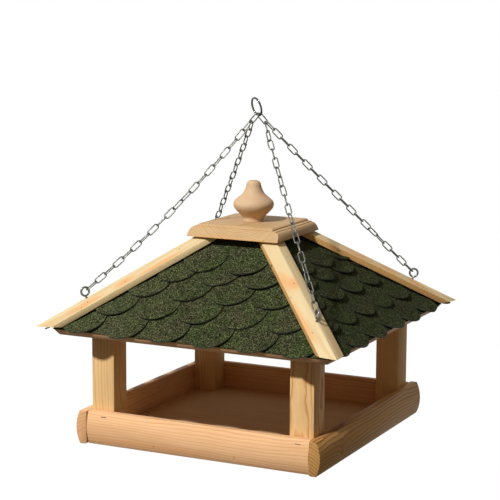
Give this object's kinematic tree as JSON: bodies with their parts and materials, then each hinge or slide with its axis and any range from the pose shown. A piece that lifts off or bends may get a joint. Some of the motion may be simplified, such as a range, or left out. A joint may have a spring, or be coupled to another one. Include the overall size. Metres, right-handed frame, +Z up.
{
  "type": "hanging bird feeder",
  "caption": "Hanging bird feeder: a railed square tray with corner posts under a hip roof of scalloped shingles, with ridge strips, cap board and turned finial, hung by chains from a ring.",
  "frame": {"origin": "the point of the ring that rests on the hook: the top of the ring's hole", "axes": "+Z up, +X right along the front rail, +Y from the front to the back"},
  "size_m": [0.4384, 0.4384, 0.4655],
  "materials": {
    "rail_pine": "planed pine, clear",
    "post_pine": "planed pine, clear",
    "cover_pine": "planed pine, pale",
    "roof_board": "sawn pine board",
    "floor_board": "plywood",
    "cap_pine": "moulded pine",
    "finial_pine": "turned pine",
    "green_bitumen": "mineral granules on bitumen felt, matt",
    "zinc_steel": "zinc plated",
    "polished_steel": "polished"
  },
  "bodies": {
    "ring": {"hanging_ring": "polished_steel"},
    "feeder": {"cap_board": "cap_pine", "chain_back_left": "zinc_steel", "chain_back_right": "zinc_steel", "chain_front_left": "zinc_steel", "chain_front_right": "zinc_steel", "eye_screw_back_left": "zinc_steel", "eye_screw_back_right": "zinc_steel", "eye_screw_front_left": "zinc_steel", "eye_screw_front_right": "zinc_steel", "finial": "finial_pine", "floor_panel": "floor_board", "hip_cover_back_left": "cover_pine", "hip_cover_back_right": "cover_pine", "hip_cover_front_left": "cover_pine", "hip_cover_front_right": "cover_pine", "post_back_left": "post_pine", "post_back_right": "post_pine", "post_front_left": "post_pine", "post_front_right": "post_pine", "rail_back": "rail_pine", "rail_front": "rail_pine", "rail_left": "rail_pine", "rail_right": "rail_pine", "roof_panel_back": "roof_board", "roof_panel_front": "roof_board", "roof_panel_left": "roof_board", "roof_panel_right": "roof_board", "shingle_course_back_1": "green_bitumen", "shingle_course_back_2": "green_bitumen", "shingle_course_back_3": "green_bitumen", "shingle_course_back_4": "green_bitumen", "shingle_course_back_5": "green_bitumen", "shingle_course_front_1": "green_bitumen", "shingle_course_front_2": "green_bitumen", "shingle_course_front_3": "green_bitumen", "shingle_course_front_4": "green_bitumen", "shingle_course_front_5": "green_bitumen", "shingle_course_left_1": "green_bitumen", "shingle_course_left_2": "green_bitumen", "shingle_course_left_3": "green_bitumen", "shingle_course_left_4": "green_bitumen", "shingle_course_left_5": "green_bitumen", "shingle_course_right_1": "green_bitumen", "shingle_course_right_2": "green_bitumen", "shingle_course_right_3": "green_bitumen", "shingle_course_right_4": "green_bitumen", "shingle_course_right_5": "green_bitumen", "starter_strip_back": "green_bitumen", "starter_strip_front": "green_bitumen", "starter_strip_left": "green_bitumen", "starter_strip_right": "green_bitumen", "top_link_left": "zinc_steel", "top_link_right": "zinc_steel"}
  },
  "joints": [
    {"name": "feeder_swing", "type": "hinge", "parent": "ring", "child": "feeder", "pos_m": [0.0035, 0.00481, -0.0222], "axis": [0.809, -0.5878, 0], "range_deg": [-45, 45]}
  ]
}
